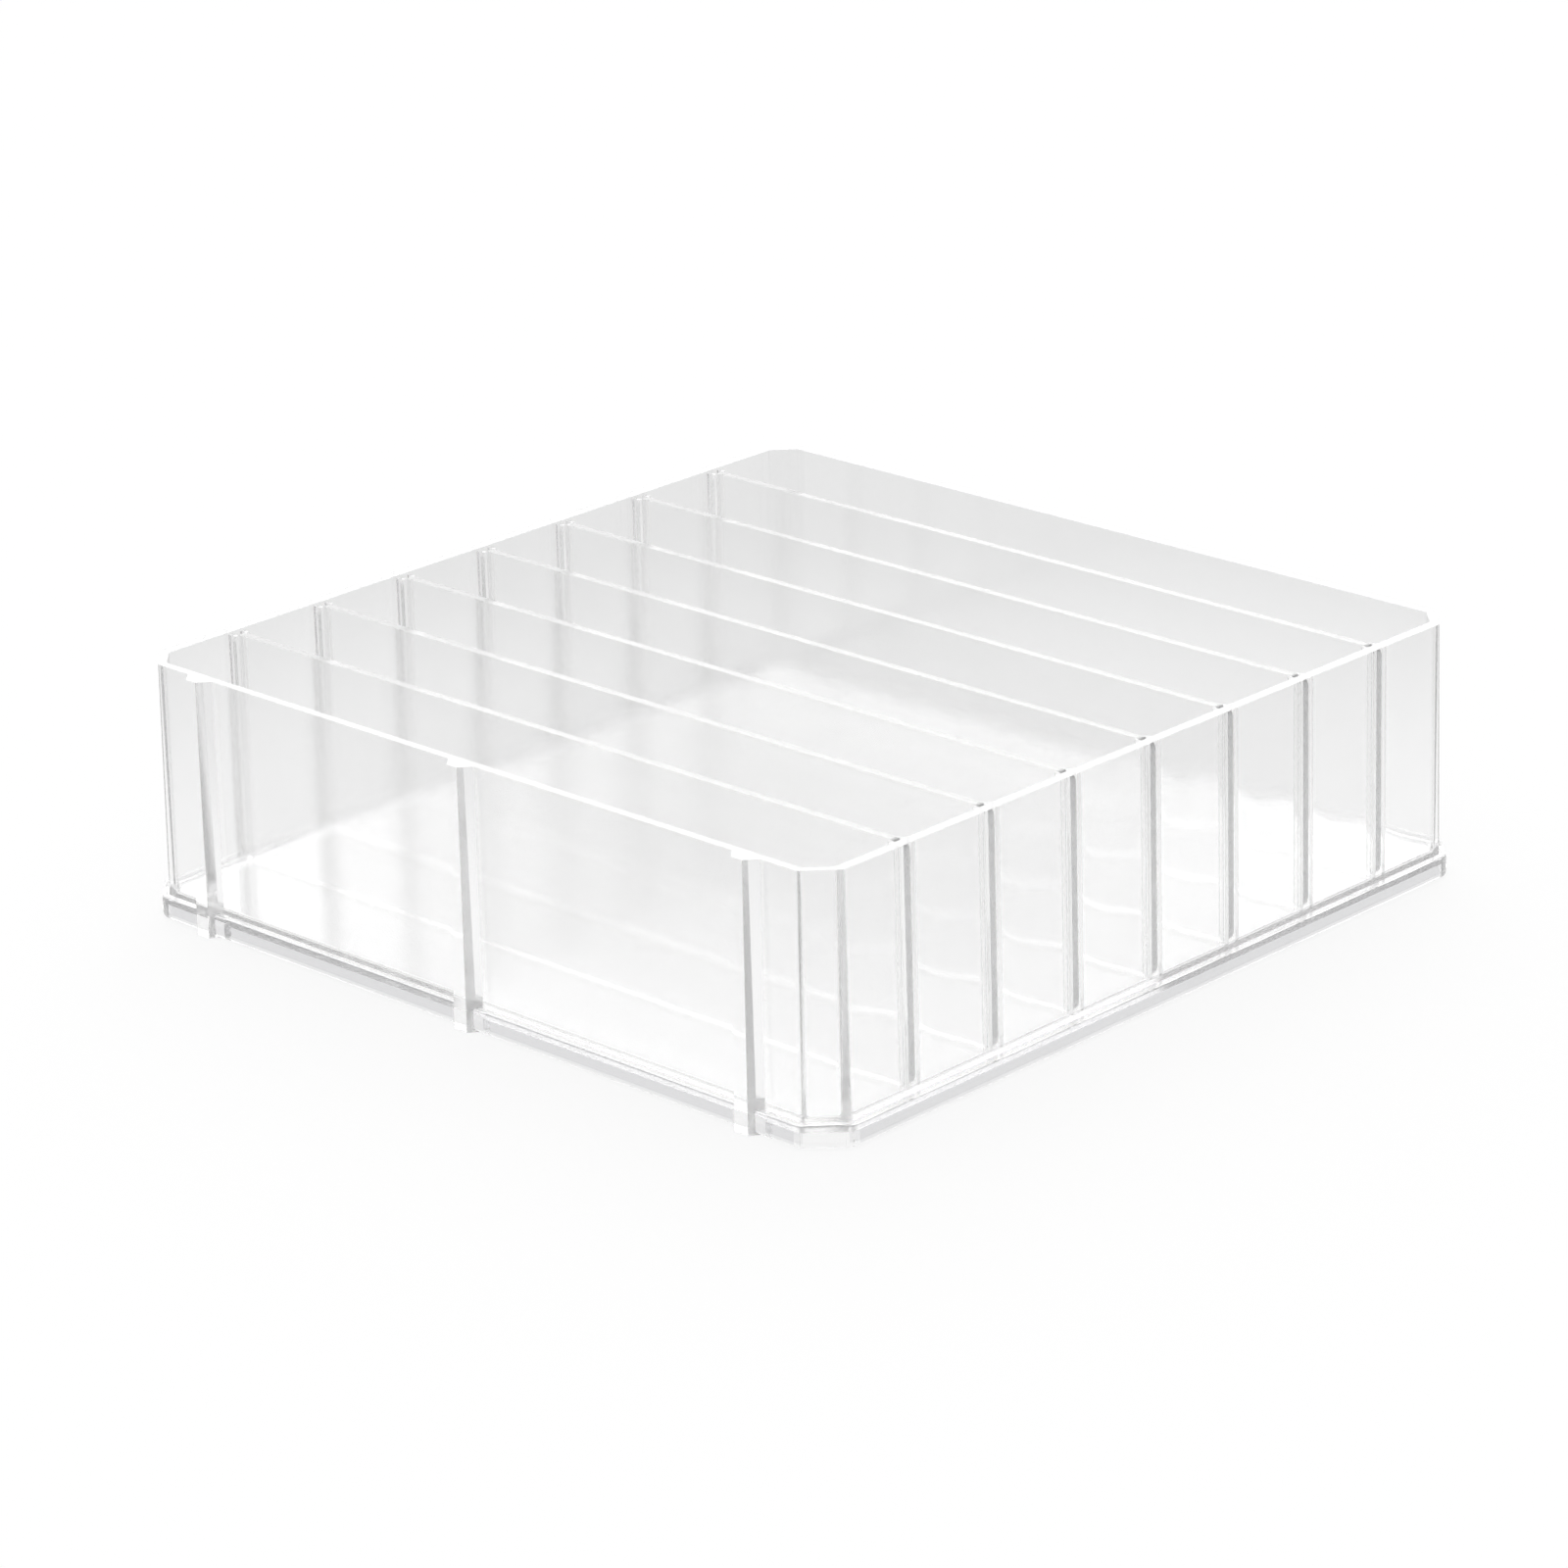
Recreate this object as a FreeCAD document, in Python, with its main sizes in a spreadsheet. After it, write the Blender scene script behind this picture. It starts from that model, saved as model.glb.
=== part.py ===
"""Clear square vanity organizer: a moulded tray whose side walls have guides for lift-out dividers.

X runs along the front wall, Y from the front to the back, Z up. The origin is the middle of the base,
counted with the feet of the pilasters, so the walls stand a little behind it.
"""
import FreeCAD
import Part
import Sketcher
import math
import os

# driving sizes in millimetres, draft in degrees
SIZES = (
    # tray walls
    ("rim_width", 230.8, "outer width of the walls at the rim, along X"),
    ("rim_depth", 230.6, "outer depth of the walls at the rim, along Y"),
    ("rim_height", 66.7, "height of the rim above the table"),
    ("end_wall_thickness", 2.2, "thickness of the front and back walls at the rim"),
    ("side_wall_thickness", 2.9, "thickness of the side walls at the rim"),
    ("wall_draft", 0.8, "lean of the outer wall faces, wider towards the base"),
    ("corner_cut", 7.5, "how far a flat corner face reaches along each wall, outside"),
    ("cavity_corner_cut", 5.3, "the same inside"),
    ("corner_round", 1.0, "rounding of the upright edges beside a corner face, outside at the rim"),
    ("cavity_corner_round", 1.0, "the same inside"),
    # floor and plinth
    ("plinth_height", 6.0, "height of the plinth, level with the top of the floor"),
    ("plinth_overhang", 2.7, "how far the plinth stands out beyond the rim"),
    ("skirt_thickness", 2.6, "thickness of the skirt below the floor"),
    ("plinth_round", 0.6, "rounding of the plinth's upper edge"),
    ("foot_round", 1.5, "rounding of the plinth's lower edge"),
    ("floor_thickness", 2.4, "thickness of the floor"),
    ("floor_fillet", 1.2, "inside fillet from the floor to the walls"),
    # pilasters on the front wall
    ("pilaster_width", 3.4, "width of a pilaster's face at the rim"),
    ("pilaster_root_width", 8.6, "width of a pilaster at the wall, at the rim"),
    ("pilaster_depth", 3.1, "how far a pilaster stands out from the wall"),
    ("pilaster_spacing", 92.3, "from the middle pilaster to each of the others"),
    # guides for the dividers
    ("guide_depth", 2.4, "how far the guide ribs stand in from the side walls"),
    ("guide_tip_width", 0.9, "width of a guide rib at its tip"),
    ("guide_root_width", 1.4, "width of a guide rib at the wall"),
    ("guide_top_drop", 0.6, "from the rim down to the top of the guide ribs"),
    # dividers
    ("divider_count", 7, "number of dividers"),
    ("divider_thickness", 2.2, "thickness of a divider"),
    ("divider_top_drop", 0.5, "from the rim down to the top of a divider"),
    ("divider_top_radius", 2.5, "radius of a divider's upper corners"),
    ("divider_foot_margin", 2.0, "how much rounder its lower corners are than the floor fillet"),
    ("divider_side_clearance", 0.2, "between a divider and each of its guide ribs"),
    ("divider_end_clearance", 0.3, "between a divider's end and the side wall"),
    ("divider_seat_clearance", 0.1, "between a divider and the floor"),
)

doc = FreeCAD.newDocument("vanity_organizer")
sheet = doc.addObject("Spreadsheet::Sheet", "sizes")
for row, (alias, value, note) in enumerate(SIZES, start=1):
    sheet.set("A%d" % row, note)
    sheet.set("B%d" % row, str(value))
    sheet.setAlias("B%d" % row, alias)
doc.recompute()


def number(expression):
    """The value of an expression in the sheet's sizes."""
    return float(sheet.evalExpression(expression))


def new_body(name):
    body = doc.addObject("PartDesign::Body", name)
    body.Label = name
    return body


def origin_feature(body, role):
    return next(item for item in body.Origin.OriginFeatures if item.Role == role)


def new_sketch(body, name, role, height):
    """A sketch on one of the body's origin planes, raised by an expression."""
    sketch = body.newObject("Sketcher::SketchObject", name)
    sketch.AttachmentSupport = [(origin_feature(body, role), "")]
    sketch.MapMode = "FlatFace"
    sketch.setExpression("AttachmentOffset.Base.z", height)
    return sketch


def bind(sketch, constraint, expression):
    """Adds a dimension and ties it to the sheet."""
    index = sketch.addConstraint(constraint)
    sketch.setExpression("Constraints[%d]" % index, expression)


def place(sketch, kind, line, end, expression):
    """Holds the end of a line at a distance from the sketch's origin, along X or Y."""
    value = number(expression)
    if value < 0:
        bind(sketch, Sketcher.Constraint(kind, line, end, -1, 1, -value), "-(%s)" % expression)
    else:
        bind(sketch, Sketcher.Constraint(kind, -1, 1, line, end, value), expression)


def rounded_rectangle(sketch, left, right, low, high, low_radius, high_radius):
    """Four lines and four tangent arcs, each side and radius given by an expression."""
    x0, x1, y0, y1 = (number(side) for side in (left, right, low, high))
    r0, r1 = number(low_radius), number(high_radius)
    vector = FreeCAD.Vector
    right_angle = math.radians(90)
    sides = (
        (vector(x0 + r0, y0), vector(x1 - r0, y0)),
        (vector(x1, y0 + r0), vector(x1, y1 - r1)),
        (vector(x1 - r1, y1), vector(x0 + r1, y1)),
        (vector(x0, y1 - r1), vector(x0, y0 + r0)),
    )
    corners = (
        (vector(x1 - r0, y0 + r0), r0, -1),
        (vector(x1 - r1, y1 - r1), r1, 0),
        (vector(x0 + r1, y1 - r1), r1, 1),
        (vector(x0 + r0, y0 + r0), r0, 2),
    )
    lines = [sketch.addGeometry(Part.LineSegment(*side), False) for side in sides]
    arcs = []
    for centre, radius, turn in corners:
        circle = Part.Circle(centre, vector(0, 0, 1), radius)
        arc = Part.ArcOfCircle(circle, turn * right_angle, (turn + 1) * right_angle)
        arcs.append(sketch.addGeometry(arc, False))
    for k, line in enumerate(lines):
        following = lines[(k + 1) % len(lines)]
        sketch.addConstraint(Sketcher.Constraint("Tangent", line, 2, arcs[k], 1))
        sketch.addConstraint(Sketcher.Constraint("Tangent", arcs[k], 2, following, 1))
    sketch.addConstraint(Sketcher.Constraint("Horizontal", lines[0]))
    sketch.addConstraint(Sketcher.Constraint("Vertical", lines[1]))
    sketch.addConstraint(Sketcher.Constraint("Horizontal", lines[2]))
    sketch.addConstraint(Sketcher.Constraint("Vertical", lines[3]))
    bind(sketch, Sketcher.Constraint("Radius", arcs[0], r0), low_radius)
    bind(sketch, Sketcher.Constraint("Radius", arcs[1], r1), high_radius)
    sketch.addConstraint(Sketcher.Constraint("Equal", arcs[3], arcs[0]))
    sketch.addConstraint(Sketcher.Constraint("Equal", arcs[2], arcs[1]))
    place(sketch, "DistanceY", lines[0], 1, low)
    place(sketch, "DistanceX", lines[1], 1, right)
    place(sketch, "DistanceY", lines[2], 1, high)
    place(sketch, "DistanceX", lines[3], 1, left)


def polygon(sketch, corners):
    """A closed outline through corners given as pairs of expressions."""
    points = [FreeCAD.Vector(number(x), number(y)) for x, y in corners]
    count = len(points)
    lines = []
    for k in range(count):
        segment = Part.LineSegment(points[k], points[(k + 1) % count])
        lines.append(sketch.addGeometry(segment, False))
    for k in range(count):
        sketch.addConstraint(Sketcher.Constraint("Coincident", lines[k], 2, lines[(k + 1) % count], 1))
        place(sketch, "DistanceX", lines[k], 1, corners[k][0])
        place(sketch, "DistanceY", lines[k], 1, corners[k][1])


def cut_rectangle(sketch, half_x, half_y, cut, radius):
    """A rectangle about the origin: each corner cut off at 45 degrees, both ends of the cut rounded."""
    x, y, r = number(half_x), number(half_y), number(radius)
    x_end, y_end = x - number(cut), y - number(cut)
    vector = FreeCAD.Vector
    turn = math.radians(45)
    corners = [vector(x_end, -y), vector(x, -y_end), vector(x, y_end), vector(x_end, y)]
    corners += [-corner for corner in corners]
    lines, arcs = [], []
    for k, end in enumerate(corners):
        along = vector(math.cos(k * turn), math.sin(k * turn))
        trim = along * (r * math.tan(turn / 2))
        lines.append(sketch.addGeometry(Part.LineSegment(corners[k - 1] + trim, end - trim), False))
        centre = end - trim + vector(-along.y, along.x) * r
        circle = Part.Circle(centre, vector(0, 0, 1), r)
        arcs.append(sketch.addGeometry(Part.ArcOfCircle(circle, (k - 2) * turn, (k - 1) * turn), False))
    for k, line in enumerate(lines):
        sketch.addConstraint(Sketcher.Constraint("Tangent", line, 2, arcs[k], 1))
        sketch.addConstraint(Sketcher.Constraint("Tangent", arcs[k - 1], 2, line, 1))
    bind(sketch, Sketcher.Constraint("Radius", arcs[0], r), radius)
    for arc in arcs[1:]:
        sketch.addConstraint(Sketcher.Constraint("Equal", arc, arcs[0]))
    for line, kind, along, side in (
        (lines[0], "Horizontal", "DistanceY", "-(%s)" % half_y),
        (lines[2], "Vertical", "DistanceX", half_x),
        (lines[4], "Horizontal", "DistanceY", half_y),
        (lines[6], "Vertical", "DistanceX", "-(%s)" % half_x),
    ):
        sketch.addConstraint(Sketcher.Constraint(kind, line))
        place(sketch, along, line, 1, side)
    reach = "((%s) + (%s) - (%s)) / sqrt(2)" % (half_x, half_y, cut)
    sketch.addConstraint(Sketcher.Constraint("Angle", lines[1], turn))
    sketch.addConstraint(Sketcher.Constraint("Perpendicular", lines[3], lines[1]))
    sketch.addConstraint(Sketcher.Constraint("Parallel", lines[5], lines[1]))
    sketch.addConstraint(Sketcher.Constraint("Perpendicular", lines[7], lines[1]))
    for line in lines[1::2]:
        bind(sketch, Sketcher.Constraint("Distance", -1, 1, line, number(reach)), reach)


def add_pad(body, name, sketch, length, reverse):
    pad = body.newObject("PartDesign::Pad", name)
    pad.Profile = sketch
    pad.Reversed = reverse
    pad.setExpression("Length", length)
    doc.recompute()
    return pad


def add_pocket(body, name, sketch, depth, reverse):
    """Cuts a pocket and makes sure that it took material away."""
    before = body.Shape.Volume
    pocket = body.newObject("PartDesign::Pocket", name)
    pocket.Profile = sketch
    pocket.Reversed = reverse
    pocket.setExpression("Length", depth)
    doc.recompute()
    if not body.Shape.Volume < before:
        raise RuntimeError("%s cuts nothing" % name)
    return pocket


def level_faces(feature):
    """Names and faces of a feature's flat level faces."""
    found = []
    for index, face in enumerate(feature.Shape.Faces, start=1):
        if isinstance(face.Surface, Part.Plane) and round(face.normalAt(0, 0).z) != 0:
            found.append(("Face%d" % index, face))
    return found


def add_fillet(body, name, feature, elements, radius):
    fillet = body.newObject("PartDesign::Fillet", name)
    fillet.Base = (feature, elements)
    fillet.setExpression("Radius", radius)
    doc.recompute()
    return fillet


# tray: the plinth is a solid slab first, its hollow is cut from below later
half_width = "sizes.rim_width / 2"
half_depth = "sizes.rim_depth / 2"
tray = new_body("tray")
offset_corner = "sizes.corner_cut + (%s) * (2 - sqrt(2))"
plinth_outline = new_sketch(tray, "plinth_outline", "XY_Plane", "0")
cut_rectangle(
    plinth_outline,
    half_width + " + sizes.plinth_overhang",
    half_depth + " + sizes.plinth_overhang",
    offset_corner % "sizes.plinth_overhang",
    "sizes.corner_round + sizes.plinth_overhang",
)
plinth = add_pad(tray, "plinth", plinth_outline, "sizes.plinth_height", False)

# small rounding along the plinth's upper edge, a larger one along its foot
plinth_top = [name for name, face in level_faces(plinth) if face.normalAt(0, 0).z > 0]
plinth_rounding = add_fillet(tray, "plinth_rounding", plinth, plinth_top, "sizes.plinth_round")
plinth_base = [name for name, face in level_faces(plinth_rounding) if face.normalAt(0, 0).z < 0]
add_fillet(tray, "foot_rounding", plinth_rounding, plinth_base, "sizes.foot_round")

# walls: a drafted block from the rim down into the floor, then the cavity
wall_outline = new_sketch(tray, "wall_outline", "XY_Plane", "sizes.rim_height")
cut_rectangle(wall_outline, half_width, half_depth, "sizes.corner_cut", "sizes.corner_round")
wall_block = add_pad(
    tray,
    "wall_block",
    wall_outline,
    "sizes.rim_height - sizes.plinth_height + sizes.floor_thickness",
    True,
)
wall_block.setExpression("TaperAngle", "sizes.wall_draft")
doc.recompute()

inner_half_width = half_width + " - sizes.side_wall_thickness"
inner_half_depth = half_depth + " - sizes.end_wall_thickness"
cavity_outline = new_sketch(tray, "cavity_outline", "XY_Plane", "sizes.rim_height")
cut_rectangle(
    cavity_outline,
    inner_half_width,
    inner_half_depth,
    "sizes.cavity_corner_cut",
    "sizes.cavity_corner_round",
)
cavity = add_pocket(tray, "cavity", cavity_outline, "sizes.rim_height - sizes.plinth_height", False)

# inside fillet where the floor meets the walls: the floor is the one face that looks up and has no hole
floor_faces = []
for name, face in level_faces(cavity):
    if face.normalAt(0, 0).z > 0 and len(face.Wires) == 1:
        floor_faces.append(name)
add_fillet(tray, "floor_rounding", cavity, floor_faces, "sizes.floor_fillet")

# hollow below the floor, inside the skirt
skirt_inset = "sizes.plinth_overhang - sizes.skirt_thickness"
hollow_outline = new_sketch(tray, "hollow_outline", "XY_Plane", "0")
cut_rectangle(
    hollow_outline,
    "%s + %s" % (half_width, skirt_inset),
    "%s + %s" % (half_depth, skirt_inset),
    offset_corner % skirt_inset,
    "sizes.corner_round + " + skirt_inset,
)
add_pocket(tray, "hollow", hollow_outline, "sizes.plinth_height - sizes.floor_thickness", True)

# three pilasters on the outside of the front wall, from the rim to the table, leaning with the wall
pilaster_root = "-(%s - sizes.end_wall_thickness / 2)" % half_depth
pilaster_base = "-(%s)" % half_depth
pilaster_face = "-(%s + sizes.pilaster_depth)" % half_depth
pilaster_outline = new_sketch(tray, "pilaster_outline", "XY_Plane", "sizes.rim_height")
for middle in ("-sizes.pilaster_spacing", "0", "sizes.pilaster_spacing"):
    face_left = "%s - sizes.pilaster_width / 2" % middle
    face_right = "%s + sizes.pilaster_width / 2" % middle
    root_left = "%s - sizes.pilaster_root_width / 2" % middle
    root_right = "%s + sizes.pilaster_root_width / 2" % middle
    polygon(
        pilaster_outline,
        (
            (face_left, pilaster_face),
            (face_right, pilaster_face),
            (root_right, pilaster_base),
            (root_right, pilaster_root),
            (root_left, pilaster_root),
            (root_left, pilaster_base),
        ),
    )
pilasters = add_pad(tray, "pilasters", pilaster_outline, "sizes.rim_height", True)
pilasters.setExpression("TaperAngle", "sizes.wall_draft")
doc.recompute()

# pairs of guide ribs inside the right wall, copied along Y for equal compartments, then mirrored
inner_depth = "(sizes.rim_depth - 2 * sizes.end_wall_thickness)"
pitch = "((%s + sizes.divider_thickness) / (sizes.divider_count + 1))" % inner_depth
first_slot = "-(sizes.divider_count - 1) / 2 * %s" % pitch
half_slot = "(sizes.divider_thickness / 2 + sizes.divider_side_clearance)"
guide_root = "%s - sizes.side_wall_thickness / 2" % half_width
guide_tip = "%s - sizes.guide_depth" % inner_half_width
guide_foot = "sizes.plinth_height - sizes.floor_thickness / 2"
guide_outline = new_sketch(tray, "guide_outline", "XY_Plane", guide_foot)
for side in ("-", "+"):
    slot_face = "%s %s %s" % (first_slot, side, half_slot)
    polygon(
        guide_outline,
        (
            (guide_root, slot_face),
            (guide_tip, slot_face),
            (guide_tip, "%s %s sizes.guide_tip_width" % (slot_face, side)),
            (guide_root, "%s %s sizes.guide_root_width" % (slot_face, side)),
        ),
    )
guides = add_pad(
    tray,
    "guides",
    guide_outline,
    "sizes.rim_height - sizes.guide_top_drop - (%s)" % guide_foot,
    False,
)
guide_rows = tray.newObject("PartDesign::MultiTransform", "guide_rows")
guide_rows.Originals = [guides]
row = tray.newObject("PartDesign::LinearPattern", "guide_row")
row.Direction = (origin_feature(tray, "Y_Axis"), [""])
row.setExpression("Length", "(sizes.divider_count - 1) * %s" % pitch)
row.setExpression("Occurrences", "sizes.divider_count")
opposite = tray.newObject("PartDesign::Mirrored", "opposite_wall")
opposite.MirrorPlane = (origin_feature(tray, "YZ_Plane"), [""])
guide_rows.Transformations = [row, opposite]
tray.Tip = guide_rows
doc.recompute()

# the feet of the pilasters reach further than the plinth, so everything stands back by half of that
pilaster_foot = "sizes.pilaster_depth + sizes.rim_height * tan(sizes.wall_draft * 1 deg)"
set_back = "((%s) - sizes.plinth_overhang) / 2" % pilaster_foot
tray.setExpression("Placement.Base.y", set_back)

# dividers: equal plates that stand on the floor between the guide ribs
half_length = "(%s - sizes.divider_end_clearance)" % inner_half_width
dividers = []
for k in range(int(number("sizes.divider_count"))):
    name = "divider_%d" % (k + 1)
    divider = new_body(name)
    outline = new_sketch(divider, name + "_outline", "XZ_Plane", "0")
    rounded_rectangle(
        outline,
        "-%s" % half_length,
        half_length,
        "sizes.plinth_height + sizes.divider_seat_clearance",
        "sizes.rim_height - sizes.divider_top_drop",
        "sizes.floor_fillet + sizes.divider_foot_margin",
        "sizes.divider_top_radius",
    )
    plate = add_pad(divider, name + "_plate", outline, "sizes.divider_thickness", False)
    plate.SideType = "Symmetric"
    divider.setExpression("Placement.Base.y", "%s + %s + %d * %s" % (set_back, first_slot, k, pitch))
    dividers.append(divider)
doc.recompute()

pieces = [tray] + dividers
for item in doc.Objects:
    if "Invalid" in item.State or "Error" in item.State:
        raise RuntimeError("%s failed: %s" % (item.Label, item.State))
for piece in pieces:
    shape = piece.Shape
    if shape.isNull() or not shape.isValid() or len(shape.Solids) != 1:
        raise RuntimeError("%s is not one valid solid" % piece.Label)

os.makedirs("parts", exist_ok=True)
for piece in pieces:
    piece.Shape.exportStep("parts/%s.step" % piece.Label)
    box = piece.Shape.BoundBox
    print(piece.Label, "volume %.1f" % piece.Shape.Volume, "box", box)
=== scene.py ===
"""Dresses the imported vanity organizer: a clear moulded tray with seven clear lift-out dividers."""
import math
import bmesh
import bpy
from mathutils import Matrix, Vector

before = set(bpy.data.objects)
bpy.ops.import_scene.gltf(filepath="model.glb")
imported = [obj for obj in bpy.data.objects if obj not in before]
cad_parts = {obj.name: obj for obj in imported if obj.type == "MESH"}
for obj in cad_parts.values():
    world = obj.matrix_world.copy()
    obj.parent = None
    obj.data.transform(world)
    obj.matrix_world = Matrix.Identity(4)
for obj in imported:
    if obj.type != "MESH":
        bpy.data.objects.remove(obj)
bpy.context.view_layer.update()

# Tray
# One injection moulding in clear general purpose polystyrene: four leaning walls on a low plinth.
# The guide ribs and the pilasters are part of it, and the faces opposite the ribs have sunk a little.


class Socket:
    """A shader output that can be used in Python arithmetic."""

    def __init__(self, nodes, output):
        self.nodes, self.output = nodes, output

    def maths(self, operation, *others, flip=False):
        values = [self, *others]
        if flip:
            values.reverse()
        return self.nodes.add("ShaderNodeMath", {"operation": operation}, *values)

    def __add__(self, other):
        return self.maths("ADD", other)

    def __sub__(self, other):
        return self.maths("SUBTRACT", other)

    def __rsub__(self, other):
        return self.maths("SUBTRACT", other, flip=True)

    def __mul__(self, other):
        return self.maths("MULTIPLY", other)

    def __abs__(self):
        return self.maths("ABSOLUTE")

    __radd__, __rmul__ = __add__, __mul__


class Finish:
    """The node tree of one material or of the world, emptied and filled by add()."""

    def __init__(self, owner):
        owner.use_nodes = True
        self.tree = owner.node_tree
        self.tree.nodes.clear()

    def add(self, kind, settings, *values, output=0, **named):
        node = self.tree.nodes.new(kind)
        for key, value in settings.items():
            setattr(node, key, value)
        for key, value in [*enumerate(values), *named.items()]:
            socket = node.inputs[key.replace("_", " ") if isinstance(key, str) else key]
            if isinstance(value, Socket):
                self.tree.links.new(value.output, socket)
            elif value is not None:
                socket.default_value = value
        return Socket(self, node.outputs[output]) if node.outputs else None

    def blend(self, share, first, second):
        """A mix of two colours, whose sockets are the last two of the Mix node's eight."""
        return self.add("ShaderNodeMix", {"data_type": "RGBA"}, share, *[None] * 5, first, second, output=2)


def clear_plastic(name, waviness, moulded=False):
    """Polished clear plastic with flow waves of a height in metres; the moulding has sunk faces and painted shade on
    its skirt, a grey tint standing in for the shaded floor seen through it.
    """
    material = bpy.data.materials.new(name)
    finish = Finish(material)
    place = finish.add("ShaderNodeTexCoord", {}, output="Object")
    flow = finish.add("ShaderNodeTexNoise", {}, Vector=place, Scale=38.0, Detail=1.0, Roughness=0.4)
    height = flow * waviness
    hazy, clear = (0.972, 0.972, 0.972, 1.0), (0.984, 0.984, 0.984, 1.0)
    tint = finish.blend(flow, hazy, clear)
    if moulded:
        x, y, z = (finish.add("ShaderNodeSeparateXYZ", {}, place, output=axis) for axis in "XYZ")
        rib_pitch, middle_of_walls, outer_face, sink = 0.02855, 0.000666, 0.1148, 0.00036
        y = y - middle_of_walls
        wave = (y * (2 * math.pi / rib_pitch)).maths("COSINE")
        height = height - wave * abs(x).maths("GREATER_THAN", outer_face) * (sink / 2)
        # Painted shade: the outer band of the plinth skirt, from 1 to 5.85 mm up and short of the corner facets, is
        # tinted grey (0.77) to stand in for the shaded floor under the tray seen through it.
        skirt_inside, skirt_outside, skirt_foot, skirt_top, corner_face = 0.1153, 0.11815, 0.001, 0.00585, 0.2255
        reach = abs(x).maths("MAXIMUM", abs(y))
        painted_shade_skirt = reach.maths("GREATER_THAN", skirt_inside) * reach.maths("LESS_THAN", skirt_outside)
        painted_shade_skirt = painted_shade_skirt * z.maths("GREATER_THAN", skirt_foot) * z.maths("LESS_THAN", skirt_top)
        painted_shade_skirt = painted_shade_skirt * (abs(x) + abs(y)).maths("LESS_THAN", corner_face)
        tint = finish.blend(painted_shade_skirt, tint, (0.77, 0.77, 0.78, 1.0))
    normal = finish.add("ShaderNodeBump", {}, Strength=1.0, Distance=1.0, Height=height)
    scuffs = finish.add("ShaderNodeTexNoise", {}, Vector=place, Scale=420.0, Detail=3.0)
    shader = finish.add(
        "ShaderNodeBsdfPrincipled", {},
        Base_Color=tint, Roughness=scuffs * 0.05 + 0.055, IOR=1.57, Transmission_Weight=1.0, Normal=normal,
    )
    absorption = finish.add("ShaderNodeVolumeAbsorption", {}, Color=(0.2, 0.2, 0.2, 1.0), Density=0.4)
    finish.add("ShaderNodeOutputMaterial", {}, Surface=shader, Volume=absorption)
    return material


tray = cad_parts["tray"]
tray.material_slots[0].material = clear_plastic("clear_moulding", waviness=0.00003, moulded=True)

# Dividers
# Seven loose plates of the same clear plastic, each pushed down between two pairs of guide ribs.
# Nothing holds them but the ribs, so each lifts straight out.
divider_plastic = clear_plastic("clear_plate", waviness=0.00002)
for name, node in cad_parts.items():
    if name.startswith("divider"):
        node.material_slots[0].material = divider_plastic

# Studio
# A broad pale floor whose glow, as the plastic shows it, is a painted pool of light brightest under the tray, and a
# sky with a softbox behind and a pale ceiling.
# The camera sees both white; the floor keeps a faint shadow.
floor_mesh = bpy.data.meshes.new("studio_floor")
shape = bmesh.new()
bmesh.ops.create_circle(shape, cap_ends=True, segments=96, radius=6.0)
shape.to_mesh(floor_mesh)
shape.free()
floor = bpy.data.objects.new("studio_floor", floor_mesh)
just_below_the_foot = -0.0002
floor.location.z = just_below_the_foot
bpy.context.scene.collection.objects.link(floor)
floor_material = bpy.data.materials.new("studio_floor")
finish = Finish(floor_material)
paper = finish.add("ShaderNodeBsdfDiffuse", {}, Color=(0.95, 0.95, 0.95, 1.0))
seen, mirrored, through = (
    finish.add("ShaderNodeLightPath", {}, output=kind)
    for kind in ("Is Camera Ray", "Is Glossy Ray", "Is Transmission Ray")
)
place = finish.add("ShaderNodeTexCoord", {}, output="Object")
distance = finish.add("ShaderNodeVectorMath", {"operation": "LENGTH"}, place, output="Value")
# Painted light: for mirrored and refracted rays the floor's glow is full white within 0.15 m of the middle and falls
# to 0.8 by 0.30 m, a painted pool of light under the tray; camera rays see it white everywhere.
near, far, pool_far_level = 0.15, 0.30, 0.80
painted_light_pool = finish.add("ShaderNodeMapRange", {"interpolation_type": "SMOOTHSTEP"}, distance, near, far, 1.0, pool_far_level)
white = finish.add("ShaderNodeEmission", {}, Color=painted_light_pool.maths("MAXIMUM", seen), Strength=1.0)
direct_share, plastic_share = 0.88, 0.9
share = (seen * direct_share).maths("MAXIMUM", mirrored * plastic_share).maths("MAXIMUM", through * plastic_share)
lit = finish.add("ShaderNodeMixShader", {}, share, paper, white)
finish.add("ShaderNodeOutputMaterial", {}, Surface=lit)
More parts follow.
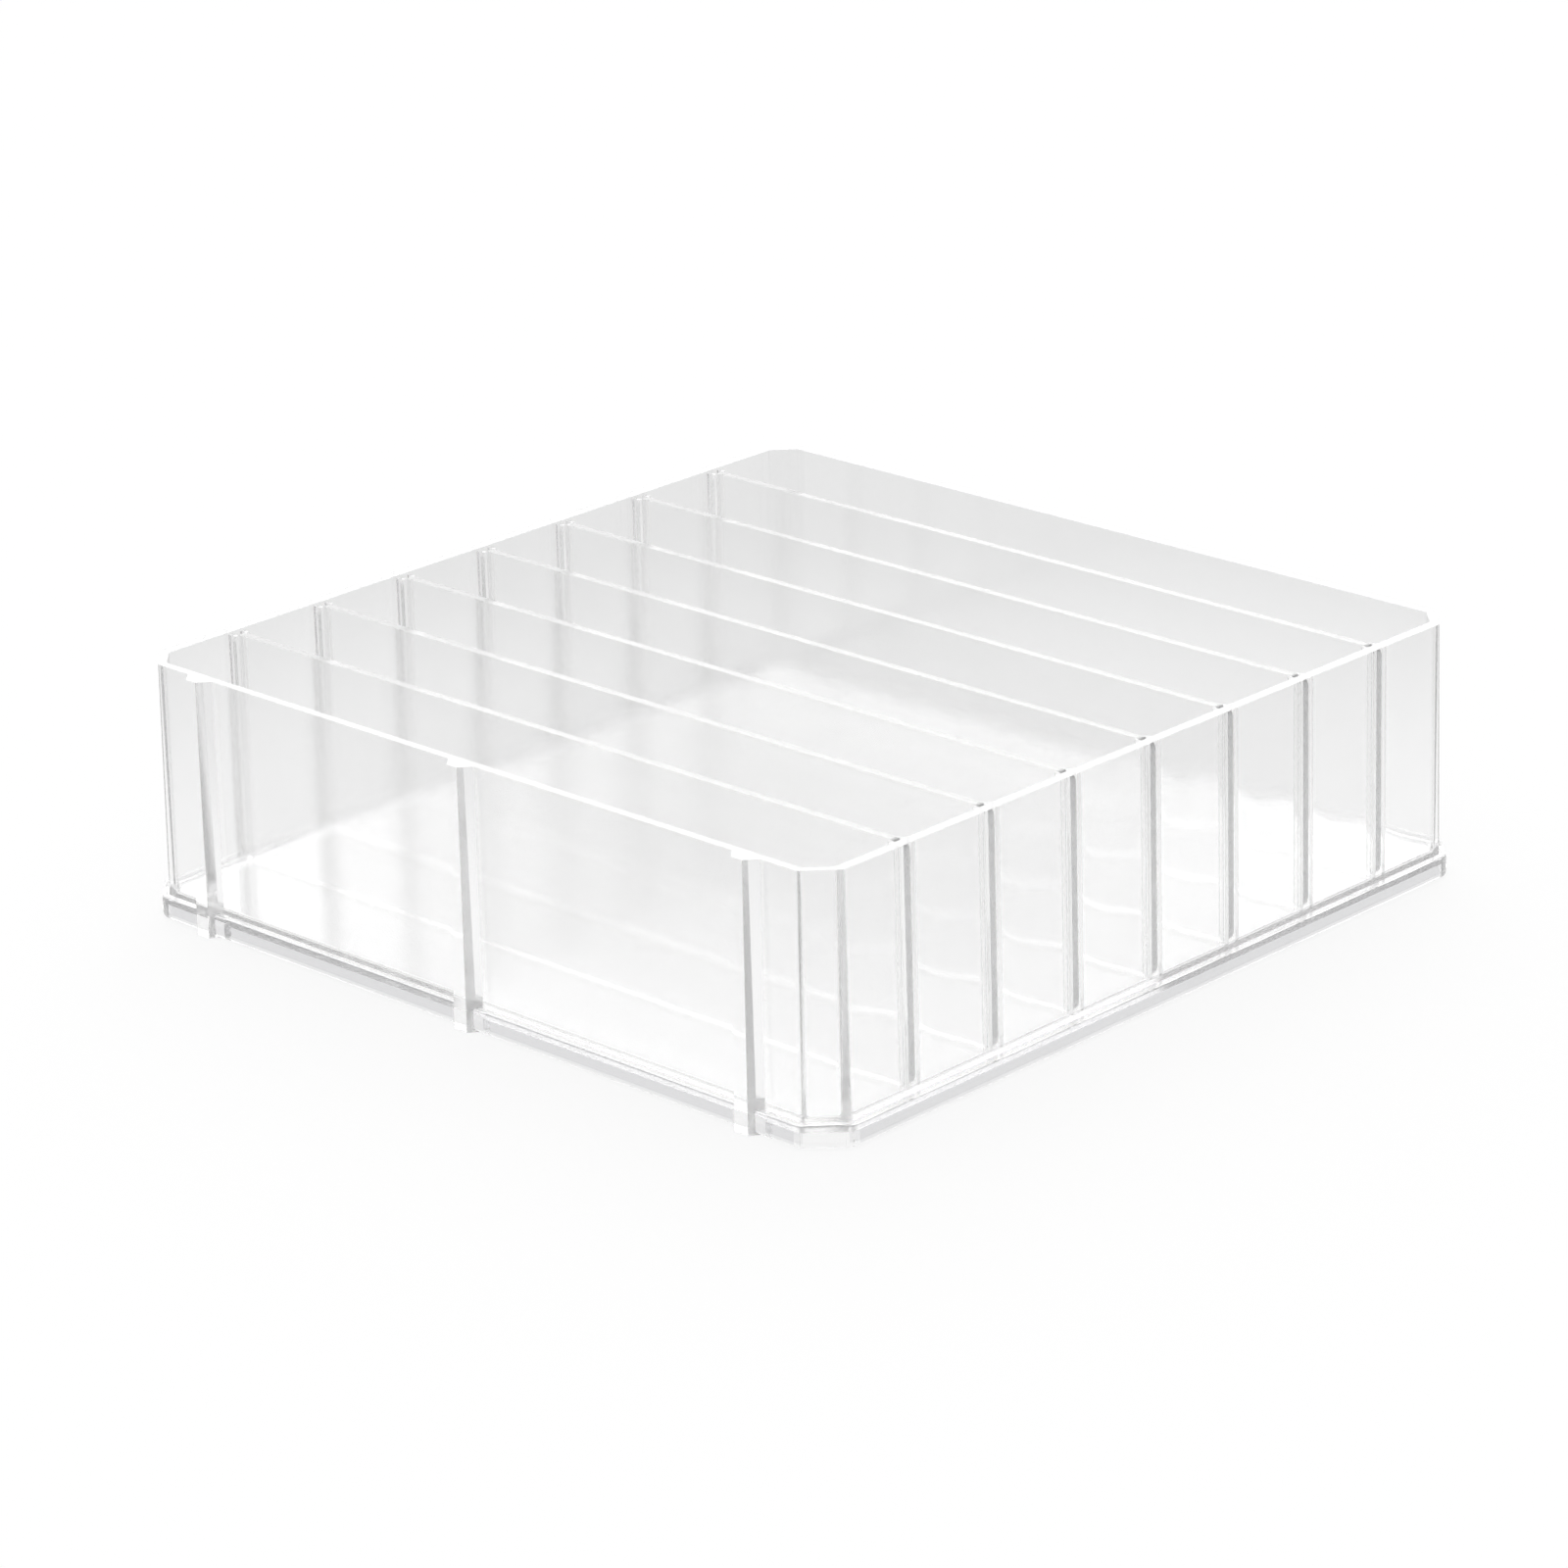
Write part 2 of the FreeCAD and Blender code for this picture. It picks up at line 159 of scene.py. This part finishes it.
floor_mesh.materials.append(floor_material)

world = bpy.data.worlds.new("studio_sky")
bpy.context.scene.world = world
finish = Finish(world)
direction = finish.add("ShaderNodeTexCoord", {}, output="Generated")
softbox = Vector((-0.652, 0.672, 0.36)).normalized()
facing = finish.add("ShaderNodeVectorMath", {"operation": "DOT_PRODUCT"}, direction, tuple(softbox), output="Value")
softbox_edge, softbox_core = (math.cos(math.radians(angle)) for angle in (46, 20))
glow = finish.add(
    "ShaderNodeMapRange", {"interpolation_type": "SMOOTHSTEP"}, facing, softbox_edge, softbox_core, 0.0, 1.8,
)
up = finish.add("ShaderNodeSeparateXYZ", {}, direction, output="Z")
ceiling = finish.add("ShaderNodeMapRange", {"interpolation_type": "SMOOTHSTEP"}, up, 0.5, 0.85, 0.0, 0.75)
seen = finish.add("ShaderNodeLightPath", {}, output="Is Camera Ray")
room_level = 0.45
strength = (glow + ceiling + room_level) * (1 - seen) + seen
sky = finish.add("ShaderNodeBackground", {}, (1.0, 1.0, 1.0, 1.0), strength)
finish.add("ShaderNodeOutputWorld", {}, Surface=sky)

# Camera
# It stands to the right of the front, as the photograph was taken, with a long lens.
# Light is passed along inside the plastic many times, so the paths are long.
camera_data = bpy.data.cameras.new("studio_camera")
camera_data.lens = 134.55
camera = bpy.data.objects.new("studio_camera", camera_data)
bpy.context.scene.collection.objects.link(camera)
azimuth, elevation, roll = (math.radians(angle) for angle in (43.967, 20.583, 1.467))
back = Vector((
    math.sin(azimuth) * math.cos(elevation), -math.cos(azimuth) * math.cos(elevation), math.sin(elevation)
))
aim = Vector((0.00615, -0.01246, 0.03325))
camera.rotation_mode = "QUATERNION"
camera.rotation_quaternion = (-back).to_track_quat("-Z", "Y") @ Matrix.Rotation(-roll, 3, "Z").to_quaternion()
distance_to_aim = 1.4462
camera.location = aim + back * distance_to_aim
bpy.context.scene.camera = camera
bpy.context.scene.view_settings.view_transform = "Standard"
paths = bpy.context.scene.cycles
paths.max_bounces = paths.transmission_bounces = paths.glossy_bounces = 160
